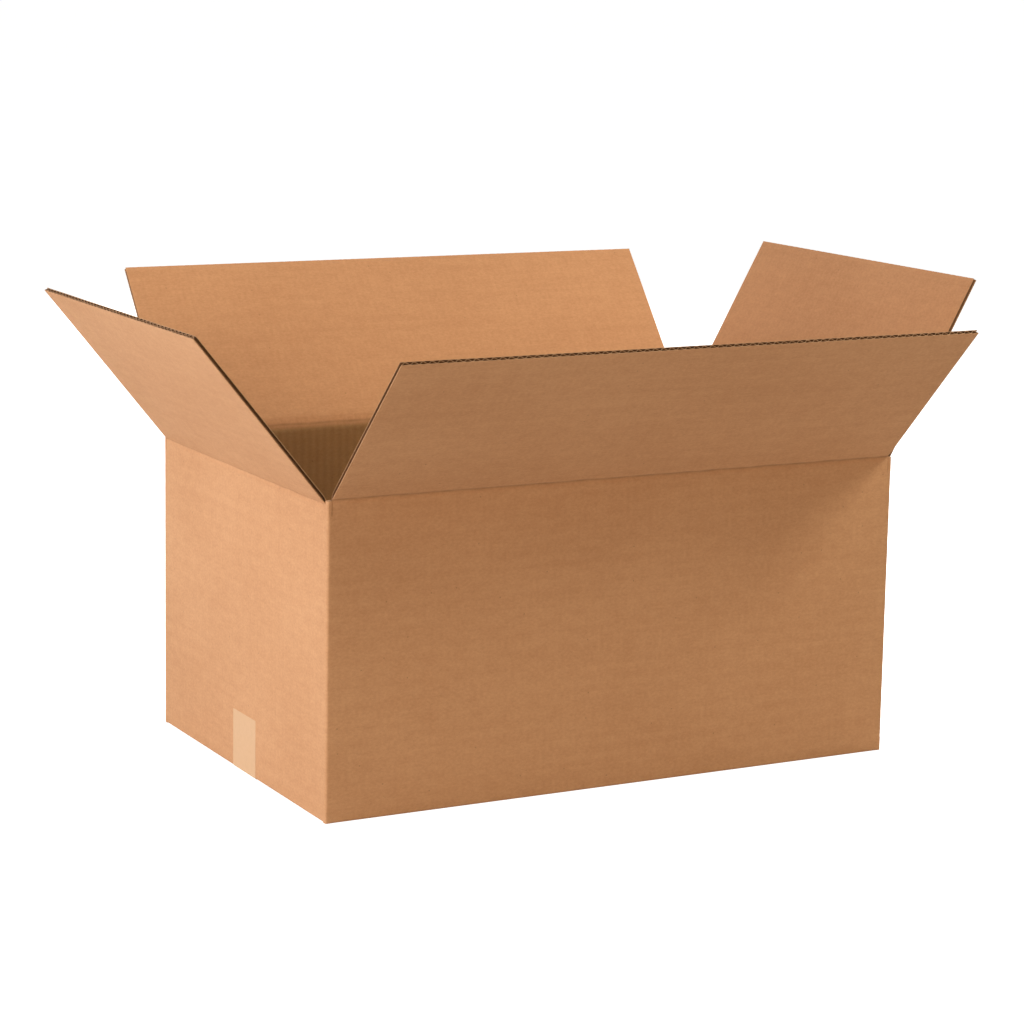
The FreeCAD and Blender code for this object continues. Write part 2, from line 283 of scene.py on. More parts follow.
class Crease:
    """A top crease: its place, its flap's lean, and where its middle lies on the flat sheet."""

    def __init__(self, side, half_width, sheet_middle, seed):
        joint = joints[side + "_flap_hinge"]
        self.side = side
        self.origin = Vector(joint["pos_m"])
        self.along = Vector(joint["axis"])
        self.outward = self.along.cross(UP)
        self.lean = math.radians(-90 - joint["range_deg"][0])
        self.half_width = half_width
        self.sheet_middle = sheet_middle
        self.seed = seed
        self.length = HALF_WIDTH - TOP_SEAM / 2
        if side in ("left", "right"):
            self.length += LONG_CREASE - SHORT_CREASE

    def points(self, along, height, depth):
        """Rest places of points on the creased sheet, with the flap turned outward by its lean."""
        turn = self.lean * smoothstep((height + BEND_REACH) / (2 * BEND_REACH))
        out = -depth * np.cos(turn) + height * np.sin(turn)
        up = depth * np.sin(turn) + height * np.cos(turn)
        return (
            np.array(self.origin)
            + along[..., None] * np.array(self.along)
            + out[..., None] * np.array(self.outward)
            + up[..., None] * np.array(UP)
        )

    def outer_depth(self, along, height):
        """How deep the pressed line is on the outside, and the bow of the flap beyond it."""
        line = CREASE_WANDER * wander(along, CREASE_WAVE, self.seed)
        dents = FLUTE_DENTS * np.sin(2 * math.pi * along / FLUTE_PITCH)
        flutes = 1 + dents + PRESSED_UNEVEN * wander(along, PRESSED_WAVE, self.seed + 3)
        fade = smoothstep((self.half_width - np.abs(along) + PRESSED_FADE_PAST) / PRESSED_FADE)
        pressed = PRESSED_OUTSIDE * flutes * fade * np.exp(-(((height - line) / PRESSED_OUTSIDE_WIDTH) ** 2))
        return pressed + self.bow(along, height) + self.crush(along, height)

    def crush(self, along, height):
        """How far each liner is pressed in by the knife, near the cut edges."""
        side = np.exp(-(self.half_width - np.abs(along)) / CRUSH_REACH)
        tip = np.exp(-np.maximum(self.length - height, 0) / CRUSH_REACH)
        return CRUSH * np.maximum(side, tip)

    def crease_wear_and_shade(self, along, height):
        """How dark the crease line is painted, from 0 to 1: partly crushed fibres, partly painted shade in
        the crease.
        """
        line = CREASE_WANDER * wander(along, CREASE_WAVE, self.seed)
        wave = wander(along, CREASE_MARK_WAVE, self.seed + 11)
        uneven = 1 - CREASE_MARK_UNEVEN + CREASE_MARK_UNEVEN * wave
        return CREASE_WEAR_AND_SHADE_BY_SIDE[self.side] * uneven * np.exp(-(((height - line) / CREASE_MARK_WIDTH) ** 2))

    def bow(self, along, height):
        rise = smoothstep((height - STRIP_REACH) / FLAP_BOW_RISE)
        uneven = FLAP_BOW_MEAN
        for wavelength, share, seed in FLAP_BOW_WAVES:
            uneven = uneven + share * wander(along, wavelength, self.seed + seed)
        return FLAP_BOW * rise * np.clip(uneven, 0, 1)

    def inner_depth(self, along, height):
        line = CREASE_WANDER * wander(along, CREASE_INSIDE_WAVE, self.seed + 2)
        pressed = PRESSED_INSIDE * np.exp(-(((height - line) / PRESSED_INSIDE_WIDTH) ** 2))
        return BOARD - pressed + self.bow(along, height) - self.crush(along, height)

    def fluted(self, mesh, height_rows, tip=None):
        """Two liners and the wavy paper between them, over rows of heights.

        tip is the height of the cut end, if the rows end there.
        """
        width = 2 * self.half_width
        columns = np.linspace(-self.half_width, self.half_width, round(width / COLUMN) + 1)
        near_edge = self.half_width - SIDE_COLUMNS
        columns = np.sort(np.concatenate([columns, near_edge, -near_edge]))
        along, height = np.meshgrid(columns, height_rows)
        if tip is not None:
            cut = CUT_WANDER * (wander(along, CUT_WAVE, self.seed + 7) - 1)
            height = height + cut * (height >= tip)
        for is_inner in (False, True):
            if is_inner:
                far = self.inner_depth(along, height)
                near = far - LINER
                papers = (WAVY_PAPER, INNER_PAPER, CUT_PAPER)
            else:
                near = self.outer_depth(along, height)
                far = near + LINER
                papers = (OUTER_PAPER, WAVY_PAPER, CUT_PAPER)
            sheet = sheet_grid(along, height + self.origin.z, self.sheet_middle)
            # darkening along the crease line: partly crushed fibres, partly painted shade
            pressed = self.crease_wear_and_shade(along, height)
            near = self.points(along, height, near)
            far = self.points(along, height, far)
            mesh.slab(near, far, sheet, sheet + INSIDE_SHIFT, papers, pressed)
        self.wave(mesh, height_rows, tip)

    def wave(self, mesh, height_rows, tip):
        """The wavy paper between the liners, set back a little at the cut edges."""
        flutes = round(2 * self.half_width / FLUTE_PITCH)
        reach = self.half_width - MEDIUM_SETBACK
        columns = np.linspace(-reach, reach, flutes * COLUMNS_PER_FLUTE + 1)
        along, height = np.meshgrid(columns, height_rows)
        if tip is not None:
            setback = MEDIUM_SETBACK * (1 + MEDIUM_UNEVEN * wander(along, MEDIUM_WAVE, self.seed + 9))
            height = height - setback * (height >= tip)
        top = self.outer_depth(along, height) + LINER - GLUE_OVERLAP
        bottom = self.inner_depth(along, height) - LINER + GLUE_OVERLAP
        centre, half = flute_wave(along, reach, flutes, top, bottom)
        sheet = sheet_grid(along, height + self.origin.z, self.sheet_middle)
        near = self.points(along, height, centre - half)
        far = self.points(along, height, centre + half)
        mesh.slab(near, far, sheet, sheet + INSIDE_SHIFT, (WAVY_PAPER, WAVY_PAPER, CUT_PAPER))


# The four walls and the glued tab, in the order in which they lie on the sheet
CORNERS = [
    Vector((HALF_LENGTH, HALF_WIDTH, 0)),
    Vector((-HALF_LENGTH, HALF_WIDTH, 0)),
    Vector((-HALF_LENGTH, -HALF_WIDTH, 0)),
    Vector((HALF_LENGTH, -HALF_WIDTH, 0)),
    Vector((HALF_LENGTH, HALF_WIDTH - BOARD - STACK_GAP, 0)),
]
WALL_NAMES = ["back", "left", "front", "right"]
WALL_LENGTHS = [(CORNERS[index + 1] - CORNERS[index]).length for index in range(4)]
WALL_STARTS = [sum(WALL_LENGTHS[:index]) for index in range(5)]
WALL_ALONG = [(CORNERS[index + 1] - CORNERS[index]).normalized() for index in range(4)] + [Vector((-1, 0, 0))]


def fold_radius(depth):
    """Radius of a fold at a depth in the board, and how far its centre is from both outer faces."""
    radius = np.maximum(FOLD_RADIUS - depth, FOLD_HEART)
    return radius, depth + radius


def off_the_fold(distance, depth):
    """Distance from an outer corner, moved off the fold's inside for points deep in the board."""
    centre = fold_radius(depth)[1]
    near = centre + (distance - FOLD_RADIUS) * (FOLD_REACH - centre) / (FOLD_REACH - FOLD_RADIUS)
    return np.where(distance < FOLD_REACH, near, distance)


def inward(index):
    return UP.cross(WALL_ALONG[index])


def wall_point(index, distance, depth, height, folded_at_start=True, folded_at_end=True):
    """Points of a wall, by their distance from its first corner."""
    length = WALL_LENGTHS[index] if index < 4 else GLUE_TAB_WIDTH + BOARD
    if folded_at_start:
        distance = off_the_fold(distance, depth)
    if folded_at_end:
        distance = length - off_the_fold(length - distance, depth)
    return (
        np.array(CORNERS[index])
        + distance[..., None] * np.array(WALL_ALONG[index])
        + depth[..., None] * np.array(inward(index))
        + height[..., None] * np.array(UP)
    )


def corner_point(index, share, depth, height):
    """Points of the fold between wall index and the next one. share goes from 0 to 1 round it."""
    radius, centre = fold_radius(depth)
    before = np.array(inward(index))
    after = np.array(inward(index + 1))
    angle = share * math.pi / 2
    across = centre[..., None] * (before + after)
    spoke = radius[..., None] * (np.cos(angle)[..., None] * before + np.sin(angle)[..., None] * after)
    return np.array(CORNERS[index + 1]) + across - spoke + height[..., None] * np.array(UP)


def wall_warp(sheet_along, height):
    """Slight unevenness of the walls, none near folds and creases."""
    fade = smoothstep((height - WALL_FOOT) / WARP_FADE_UP) * smoothstep((WALL_TOP - height) / WARP_FADE_UP)
    waves_along, waves_up = WARP_LONG_WAVES
    long_waves = wander(sheet_along, waves_along, 2) * wander(height, waves_up, 5)
    slanted = wander(sheet_along + height, WARP_SLANTED_WAVE, 8)
    return WALL_WARP * fade * (WARP_LONG_SHARE * long_waves + (1 - WARP_LONG_SHARE) * slanted)


def spaced(start, end, step):
    return np.linspace(start, end, max(2, round(abs(end - start) / step) + 1))


def wall_stations(index, skip_start, skip_end):
    """Distances along a wall, closer together near its folds."""
    length = WALL_LENGTHS[index]
    start = [skip_start, (skip_start + FOLD_REACH) / 2] if skip_start < FOLD_REACH else [skip_start]
    end = [(FOLD_REACH + skip_end) / 2, skip_end] if skip_end < FOLD_REACH else [skip_end]
    inner = spaced(FOLD_REACH, length - FOLD_REACH, WALL_COLUMN)
    return np.concatenate([start, inner, length - np.array(end)])


def ring(mesh, rows, cut_at):
    """The walls between the bottom folds and the top creases. cut_at is where the back wall starts."""
    outer = []
    inner = []
    sheet = []
    for index in range(4):
        skip_start = cut_at if index == 0 else FOLD_RADIUS
        along, height = np.meshgrid(wall_stations(index, skip_start, FOLD_RADIUS), rows)
        before = smoothstep(along / WARP_FADE_ALONG)
        after = smoothstep((WALL_LENGTHS[index] - along) / WARP_FADE_ALONG)
        warp = wall_warp(along + WALL_STARTS[index], height) * before * after
        for points, depth_value in ((outer, 0), (inner, BOARD)):
            depth = np.full(along.shape, depth_value, float)
            flat = wall_point(index, along, depth, height, folded_at_start=index > 0)
            points.append(flat + warp[..., None] * np.array(inward(index)))
        sheet.append(sheet_grid(along, height, WALL_STARTS[index]))

        share, height = np.meshgrid(np.linspace(0, 1, FOLD_STEPS)[1:-1], rows)
        dent = CORNER_DENT * (1 + wander(height, CORNER_DENT_WAVE, index)) * np.sin(share * math.pi)
        into_corner = np.array(inward(index)) - np.array(WALL_ALONG[index])
        outside = corner_point(index, share, np.zeros(share.shape), height)
        outer.append(outside + dent[..., None] * into_corner)
        inner.append(corner_point(index, share, np.full(share.shape, BOARD), height))
        sheet.append(sheet_grid(share * FOLD_RADIUS, height, WALL_STARTS[index + 1] - FOLD_RADIUS / 2))
    outer, inner, sheet = [np.concatenate(parts, axis=1) for parts in (outer, inner, sheet)]
    mesh.slab(outer, inner, sheet, sheet + INSIDE_SHIFT, (OUTER_PAPER, INNER_PAPER, CUT_PAPER))


def corner_column(mesh, index, before, after, rows):
    """A stretch of the corner after wall index, from before to after (distances from the corner)."""
    pieces = []
    for depth_value in (0, BOARD):
        parts = []
        sheets = []
        if before > FOLD_RADIUS:
            along, height = np.meshgrid(WALL_LENGTHS[index] - np.array([before, FOLD_RADIUS]), rows)
            parts.append(wall_point(index, along, np.full(along.shape, depth_value, float), height))
            sheets.append(sheet_grid(along, height, WALL_STARTS[index]))
        shares = np.linspace(0, 1, FOLD_STEPS)
        share, height = np.meshgrid(shares[1:-1] if before > FOLD_RADIUS else shares, rows)
        parts.append(corner_point(index, share, np.full(share.shape, depth_value, float), height))
        sheets.append(sheet_grid(share * FOLD_RADIUS, height, WALL_STARTS[index + 1] - FOLD_RADIUS / 2))
        if after > FOLD_RADIUS:
            along, height = np.meshgrid(np.array([FOLD_RADIUS, after]), rows)
            depth = np.full(along.shape, depth_value, float)
            parts.append(wall_point(index + 1, along, depth, height))
            sheets.append(sheet_grid(along, height, WALL_STARTS[index + 1]))
        pieces.append((np.concatenate(parts, axis=1), np.concatenate(sheets, axis=1)))
    outer, sheet = pieces[0]
    inner = pieces[1][0]
    mesh.slab(outer, inner, sheet, sheet + INSIDE_SHIFT, (OUTER_PAPER, INNER_PAPER, CUT_PAPER))


def arc(across, up, radius, start, end):
    """Points (across, up) round a centre, between two angles in degrees."""
    angles = np.radians(np.linspace(start, end, FOLD_STEPS))
    return np.stack([across + radius * np.cos(angles), up + radius * np.sin(angles)], axis=1)


def profile(*stretches):
    """One run of points (across, up), and how far each is from the first along the board."""
    points = np.concatenate([np.atleast_2d(stretch) for stretch in stretches])
    steps = np.linalg.norm(np.diff(points, axis=0), axis=1)
    points = points[np.concatenate([[True], steps > SAME_PLACE])]
    steps = np.linalg.norm(np.diff(points, axis=0), axis=1)
    return points, np.concatenate([[0], np.cumsum(steps)])


class Foot:
    """The fold under a wall and its bottom flap. Across runs inward and up runs from the floor."""

    def __init__(self, index, half_width, is_outer_flap):
        self.index = index
        middle = CORNERS[index] + WALL_ALONG[index] * WALL_LENGTHS[index] / 2
        if WALL_NAMES[index] in ("left", "right"):
            middle.y = 0
        self.middle = middle
        self.half_width = half_width
        self.is_outer_flap = is_outer_flap
        self.level = 0 if is_outer_flap else INNER_FLAP_LEVEL
        self.length = HALF_WIDTH - BOTTOM_SEAM / 2 - self.level
        self.sheet_middle = WALL_STARTS[index] + WALL_LENGTHS[index] / 2

    def points(self, along, across, up):
        """The along of a bottom flap runs against its wall's, so that rows that go inward face down."""
        return (
            np.array(self.middle)
            - along[..., None] * np.array(WALL_ALONG[self.index])
            + across[..., None] * np.array(inward(self.index))
            + up[..., None] * np.array(UP)
        )

    def fold(self, mesh, columns):
        low = 0 if self.is_outer_flap else END_WALL_CLEARANCE
        round_fold = arc(FOLD_RADIUS, low + FOLD_RADIUS, FOLD_RADIUS, 180, 270)
        rise = np.empty((0, 2))
        if not self.is_outer_flap:
            bulge = arc(FOLD_RADIUS, low + FOLD_RADIUS, FOLD_RADIUS, 270, 360)
            hollow = arc(2 * FOLD_RADIUS + FOLD_HOLLOW, self.level - FOLD_HOLLOW, FOLD_HOLLOW, 180, 90)
            rise = np.concatenate([bulge, hollow])
        outer, run = profile((0, WALL_FOOT), round_fold, rise, (FOLD_REACH, self.level))
        heart = self.level + BOARD + FOLD_HEART
        inside = arc(BOARD + FOLD_HEART, heart, FOLD_HEART, 180, 270)
        inner, inner_run = profile((BOARD, WALL_FOOT), inside, (FOLD_REACH, self.level + BOARD))
        share = run / run[-1] * inner_run[-1]
        inner = np.stack([np.interp(share, inner_run, inner[:, axis]) for axis in range(2)], axis=1)
        along = np.tile(columns, (len(run), 1))
        sheet = sheet_grid(-along, WALL_FOOT - run[:, None] + 0 * along, self.sheet_middle)
        near = self.points(along, outer[:, :1] + 0 * along, outer[:, 1:] + 0 * along)
        far = self.points(along, inner[:, :1] + 0 * along, inner[:, 1:] + 0 * along)
        mesh.slab(near, far, sheet, sheet + INSIDE_SHIFT, (OUTER_PAPER, INNER_PAPER, CUT_PAPER))
        return WALL_FOOT - run[-1]

    def build(self, mesh):
        columns = spaced(-self.half_width, self.half_width, WALL_COLUMN)
        sheet_top = self.fold(mesh, columns)
        rows = np.array([FOLD_REACH, self.length / 2, self.length])
        along, across = np.meshgrid(columns, rows)
        sheet = sheet_grid(-along, sheet_top + FOLD_REACH - across, self.sheet_middle)
        for liner_depth, papers in LINERS:
            up = self.level + liner_depth + 0 * along
            near = self.points(along, across, up)
            far = self.points(along, across, up + LINER)
            mesh.slab(near, far, sheet, sheet + INSIDE_SHIFT, papers)
        flutes = round(2 * self.half_width / FLUTE_PITCH)
        reach = self.half_width - MEDIUM_SETBACK
        rows[-1] = self.length - MEDIUM_SETBACK
        along, across = np.meshgrid(np.linspace(-reach, reach, flutes * COLUMNS_PER_FLUTE + 1), rows)
        centre, half = flute_wave(along, reach, flutes, LINER - GLUE_OVERLAP, BOARD - LINER + GLUE_OVERLAP)
        sheet = sheet_grid(-along, sheet_top + FOLD_REACH - across, self.sheet_middle)
        near = self.points(along, across, self.level + centre - half)
        far = self.points(along, across, self.level + centre + half)
        mesh.slab(near, far, sheet, sheet + INSIDE_SHIFT, (WAVY_PAPER, WAVY_PAPER, CUT_PAPER))


def glue_tab(mesh):
    """The tab inside the back wall, with sloped ends."""
    low = BOARD * 2 + STACK_GAP + GLUE_TAB_CLEARANCE
    high = SHORT_CREASE - BOARD - GLUE_TAB_CLEARANCE
    stations = np.array([FOLD_RADIUS, FOLD_REACH, *GLUE_TAB_COLUMNS, GLUE_TAB_WIDTH + BOARD])
    along, share = np.meshgrid(stations, np.linspace(0, 1, GLUE_TAB_ROWS))
    taper = GLUE_TAB_TAPER * np.clip((along - BOARD) / GLUE_TAB_WIDTH, 0, 1)
    height = low + taper + share * (high - low - 2 * taper)
    sheet = sheet_grid(along, height, WALL_STARTS[4])
    outer = wall_point(4, along, np.zeros(along.shape), height, folded_at_end=False)
    inner = wall_point(4, along, np.full(along.shape, BOARD), height, folded_at_end=False)
    mesh.slab(outer, inner, sheet, sheet + INSIDE_SHIFT, (OUTER_PAPER, INNER_PAPER, CUT_PAPER))


def cut_edge(mesh, low, high, reach):
    """The two liners at the cut edge of the back wall, with an open flute between them."""
    along, height = np.meshgrid(np.array([0, reach]), spaced(low, high, WALL_ROW))
    along = along + CUT_WANDER * (1 + wander(height, BACK_CUT_WAVE, 4)) * (along == 0)
    sheet = sheet_grid(along, height, WALL_STARTS[0])
    for liner_depth, papers in LINERS:
        near = np.full(along.shape, liner_depth, float)
        outer = wall_point(0, along, near, height, folded_at_start=False, folded_at_end=False)
        inner = wall_point(0, along, near + LINER, height, folded_at_start=False, folded_at_end=False)
        mesh.slab(outer, inner, sheet, sheet + INSIDE_SHIFT, papers)


def node(tree, kind, x=0, y=0, **values):
    made = tree.nodes.new(kind)
    made.location = (x, y)
    for key, value in values.items():
        setattr(made, key, value)
    return made


class Paper:
    """Builds the node tree of a paper material on the sheet map."""

    def __init__(self, name):
        self.material = bpy.data.materials.new(name)
        self.material.use_nodes = True
        self.tree = self.material.node_tree
        self.shader = self.tree.nodes["Principled BSDF"]
        self.sheet = node(self.tree, "ShaderNodeUVMap", -1600, 0, uv_map=SHEET_MAP).outputs["UV"]

    def link(self, output, socket):
        self.tree.links.new(output, socket)

    def math(self, operation, first, second=None, clamp=False):
        made = node(self.tree, "ShaderNodeMath", operation=operation, use_clamp=clamp)
        for socket, value in zip(made.inputs, (first, second)):
            if value is None:
                continue
            if isinstance(value, (int, float)):
                socket.default_value = value
            else:
                self.link(value, socket)
        return made.outputs[0]

    def stretched(self, along, up):
        """The sheet map in patterns per metre along and up."""
        made = node(self.tree, "ShaderNodeMapping", -1400, 0)
        made.inputs["Scale"].default_value = (along, up, 1)
        self.link(self.sheet, made.inputs["Vector"])
        return made.outputs[0]

    def noise(self, along, up, detail, roughness):
        made = node(self.tree, "ShaderNodeTexNoise", -1200, 0, noise_dimensions="2D")
        made.inputs["Scale"].default_value = 1.0
        made.inputs["Detail"].default_value = detail
        made.inputs["Roughness"].default_value = roughness
        self.link(self.stretched(along, up), made.inputs["Vector"])
        return made.outputs["Fac"]

    def centred(self, output, strength):
        return self.math("MULTIPLY", self.math("SUBTRACT", output, 0.5), strength)

    def sum(self, *outputs):
        total = outputs[0]
        for output in outputs[1:]:
            total = self.math("ADD", total, output)
        return total

    def specks(self, per_metre, radius, share):
        """Small dark spots in a share of the cells of a pattern."""
        made = node(self.tree, "ShaderNodeTexVoronoi", -1200, -300, voronoi_dimensions="2D")
        made.inputs["Scale"].default_value = 1.0
        self.link(self.stretched(per_metre, per_metre), made.inputs["Vector"])
        near = self.math("LESS_THAN", made.outputs["Distance"], radius)
        split = node(self.tree, "ShaderNodeSeparateColor", -1000, -300)
        self.link(made.outputs["Color"], split.inputs[0])
        chosen = self.math("LESS_THAN", split.outputs[0], share)
        return self.math("MULTIPLY", near, chosen)

    def flutes(self):
        """A wave along the sheet with the pitch of the flutes, from -1 to 1."""
        split = node(self.tree, "ShaderNodeSeparateXYZ", -1400, -600)
        self.link(self.sheet, split.inputs[0])
        return self.math("SINE", self.math("MULTIPLY", split.outputs["X"], 2 * math.pi / FLUTE_PITCH))

    def below_creases(self):
        """1 on the walls and 0 on the top flaps, by the height on the sheet."""
        split = node(self.tree, "ShaderNodeSeparateXYZ", -1400, -900)
        self.link(self.sheet, split.inputs[0])
        made = node(self.tree, "ShaderNodeMapRange", -1200, -900)
        made.inputs["From Min"].default_value = LONG_CREASE
        made.inputs["From Max"].default_value = SHORT_CREASE
        self.link(split.outputs["Y"], made.inputs["Value"])
        return made.outputs[0]

    def tint(self, colour, factors):
        made = node(self.tree, "ShaderNodeMix", -600, 200, data_type="RGBA", blend_type="MULTIPLY")
        made.inputs[0].default_value = 1.0
        self.link(colour, made.inputs[6])
        made.inputs[7].default_value = (*factors, 1)
        return made.outputs[2]

    def mix(self, factor, first, second):
        made = node(self.tree, "ShaderNodeMix", -400, 0, data_type="RGBA")
        for socket, value in zip((made.inputs[0], made.inputs[6], made.inputs[7]), (factor, first, second)):
            if isinstance(value, (int, float)):
                socket.default_value = value
            elif isinstance(value, tuple):
                socket.default_value = (*value, 1)
            else:
                self.link(value, socket)
        return made.outputs[2]


# Kraft paper. A pattern has its repeats per metre along and up, its detail and its roughness.
MOTTLES = [  # each pattern's strength comes last
    (7, 10, 3, 0.5, 0.8),
    (70, 120, 3, 0.6, 0.9),
    (320, 520, 2, 0.6, 1.3),
    (1100, 1500, 2, 0.6, 0.8),
    (6, 160, 2, 0.5, 0.5),
]
FIBRES = (240, 900, 2, 0.5)
FIBRE_LEVEL = 0.70  # fibres show where their pattern is above this
FIBRE_STRENGTH = 0.10
FIBRE_SHADE = 0.45  # a shade is a share of the paper's dark colour
SPECKS = (48, 0.03, 0.10)  # cells per metre, radius in cells and share of cells
SPECK_STRENGTH = 0.35
SPECK_SHADE = 0.3
CREASE_WEAR_AND_SHADE_STRENGTH = 0.55
# colour of the darkening along the creases (partly crushed fibres, partly painted shade) and of the painted
# shade over the flutes inside the walls, as a share of the dark colour
LINE_WEAR_AND_PAINTED_SHADE = 0.35
SHEEN = (500, 700, 2, 0.5)
SHEEN_STRENGTH = 0.12
PAPER_ROUGHNESS = 0.86
PAPER_SPECULAR = 0.25
GRAIN = (900, 1300, 3, 0.6)
GRAIN_HEIGHT = 0.012 * MM


def kraft(name, light, dark, flute_painted_shade, flute_height, painted_wall_shade=None):
    """Brown paper: mottled, with fibres, faint streaks across the flutes and a few dark specks.

    With a painted wall shade, the paper below the top creases is darkened by that painted shade and has
    clearer painted shade lines over the flutes.
    """
    paper = Paper(name)

    def shaded(share):
        return tuple(share * value for value in dark)

    mottles = [paper.centred(paper.noise(*pattern), strength) for *pattern, strength in MOTTLES]
    # the mottles are the paper's own; the lines over the flutes are painted shade of their ripples
    mottle_and_flute_shade = paper.sum(*mottles, paper.math("MULTIPLY", paper.flutes(), flute_painted_shade))
    base = paper.mix(paper.math("ADD", mottle_and_flute_shade, 0.5, clamp=True), dark, light)
    fibres = paper.math("GREATER_THAN", paper.noise(*FIBRES), FIBRE_LEVEL)
    base = paper.mix(paper.math("MULTIPLY", fibres, FIBRE_STRENGTH), base, shaded(FIBRE_SHADE))
    base = paper.mix(paper.math("MULTIPLY", paper.specks(*SPECKS), SPECK_STRENGTH), base, shaded(SPECK_SHADE))
    # painted shade on the inner faces of the walls, below the top creases
    if painted_wall_shade:
        # painted shade lines over the flutes
        flute_shade_lines = paper.math("MULTIPLY", paper.math("ADD", paper.flutes(), 1.0), WALL_FLUTE_SHADE_LINES / 2)
        shaded_wall_paper = paper.mix(flute_shade_lines, paper.tint(base, painted_wall_shade), shaded(LINE_WEAR_AND_PAINTED_SHADE))
        base = paper.mix(paper.below_creases(), base, shaded_wall_paper)
    # Darker along the top creases: partly crushed fibres, partly painted shade in the crease
    crease_wear_and_shade = node(paper.tree, "ShaderNodeAttribute", -1000, 300, attribute_name=CREASE_WEAR_AND_SHADE_MARK)
    crease_wear_and_shade_share = paper.math("MULTIPLY", crease_wear_and_shade.outputs["Fac"], CREASE_WEAR_AND_SHADE_STRENGTH, clamp=True)
    base = paper.mix(crease_wear_and_shade_share, base, shaded(LINE_WEAR_AND_PAINTED_SHADE))
    paper.link(base, paper.shader.inputs["Base Color"])
    rough = paper.math("ADD", paper.centred(paper.noise(*SHEEN), SHEEN_STRENGTH), PAPER_ROUGHNESS)
    paper.link(rough, paper.shader.inputs["Roughness"])
    paper.shader.inputs["Specular IOR Level"].default_value = PAPER_SPECULAR
    height = paper.sum(
        paper.math("MULTIPLY", paper.flutes(), flute_height / MM),
        paper.math("MULTIPLY", paper.noise(*GRAIN), GRAIN_HEIGHT / MM),
    )
    bump = node(paper.tree, "ShaderNodeBump", -200, -400)
    bump.inputs["Strength"].default_value = 1.0
    bump.inputs["Distance"].default_value = MM
    paper.link(height, bump.inputs["Height"])
    paper.link(bump.outputs[0], paper.shader.inputs["Normal"])
    return paper.material


# Tape
TAPE_MOTTLES = 260.0  # per metre
TAPE_DETAIL = 3.0
TAPE_ROUGHNESS = 0.55
TAPE_GRAIN = 0.02 * MM


def tape_material():
    """Paper tape: paler than the board, a little smoother, with a faint mottle and grain."""
    material = bpy.data.materials.new("packing_tape")
    material.use_nodes = True
    tree = material.node_tree
    shader = tree.nodes["Principled BSDF"]
    place = node(tree, "ShaderNodeTexCoord", -1200, 0).outputs["Object"]
    mottle = node(tree, "ShaderNodeTexNoise", -900, 0)
    mottle.inputs["Scale"].default_value = TAPE_MOTTLES
    mottle.inputs["Detail"].default_value = TAPE_DETAIL
    tree.links.new(place, mottle.inputs["Vector"])
    mix = node(tree, "ShaderNodeMix", -500, 0, data_type="RGBA")
    mix.inputs[6].default_value = (*TAPE_DARK, 1)
    mix.inputs[7].default_value = (*TAPE_LIGHT, 1)
    tree.links.new(mottle.outputs["Fac"], mix.inputs[0])
    tree.links.new(mix.outputs[2], shader.inputs["Base Color"])
    shader.inputs["Roughness"].default_value = TAPE_ROUGHNESS
    bump = node(tree, "ShaderNodeBump", -300, -300)
    bump.inputs["Distance"].default_value = TAPE_GRAIN
    tree.links.new(mottle.outputs["Fac"], bump.inputs["Height"])
    tree.links.new(bump.outputs[0], shader.inputs["Normal"])
    return material


# Colours, linear
# painted shade of the flutes' ripples on the inner faces of the walls
WALL_FLUTE_SHADE_LINES = 0.22  # how dark the lines over the flutes are inside the walls
KRAFT_LIGHT = (0.640, 0.345, 0.172)
KRAFT_DARK = (0.545, 0.275, 0.130)
INSIDE_LIGHT = (0.625, 0.325, 0.155)
INSIDE_DARK = (0.530, 0.262, 0.119)
# painted shade: the inner faces of the walls are darkened against those of the flaps
WALL_PAINTED_SHADE = (0.63, 0.70, 0.63)  # of the inner faces of the walls against those of the flaps
WAVY_LIGHT = (0.300, 0.165, 0.085)
WAVY_DARK = (0.200, 0.105, 0.050)
CUT_LIGHT = (0.560, 0.320, 0.165)
CUT_DARK = (0.420, 0.225, 0.110)
TAPE_LIGHT = (0.655, 0.405, 0.214)
TAPE_DARK = (0.590, 0.355, 0.180)

# How much the flutes show in a liner: as painted shade of their ripples in its colour, and as waves of this
# height
FLUTE_PAINTED_SHADE_OUTSIDE = 0.03
FLUTE_PAINTED_SHADE_INSIDE = 0.05
FLUTE_HEIGHT_OUTSIDE = 0.010 * MM
FLUTE_HEIGHT_INSIDE = 0.016 * MM

board_materials = [
    kraft("kraft_outside", KRAFT_LIGHT, KRAFT_DARK, FLUTE_PAINTED_SHADE_OUTSIDE, FLUTE_HEIGHT_OUTSIDE),
    kraft("kraft_inside", INSIDE_LIGHT, INSIDE_DARK, FLUTE_PAINTED_SHADE_INSIDE, FLUTE_HEIGHT_INSIDE, WALL_PAINTED_SHADE),
    kraft("wavy_paper", WAVY_LIGHT, WAVY_DARK, 0, 0),
    kraft("cut_paper", CUT_LIGHT, CUT_DARK, 0, 0),
]


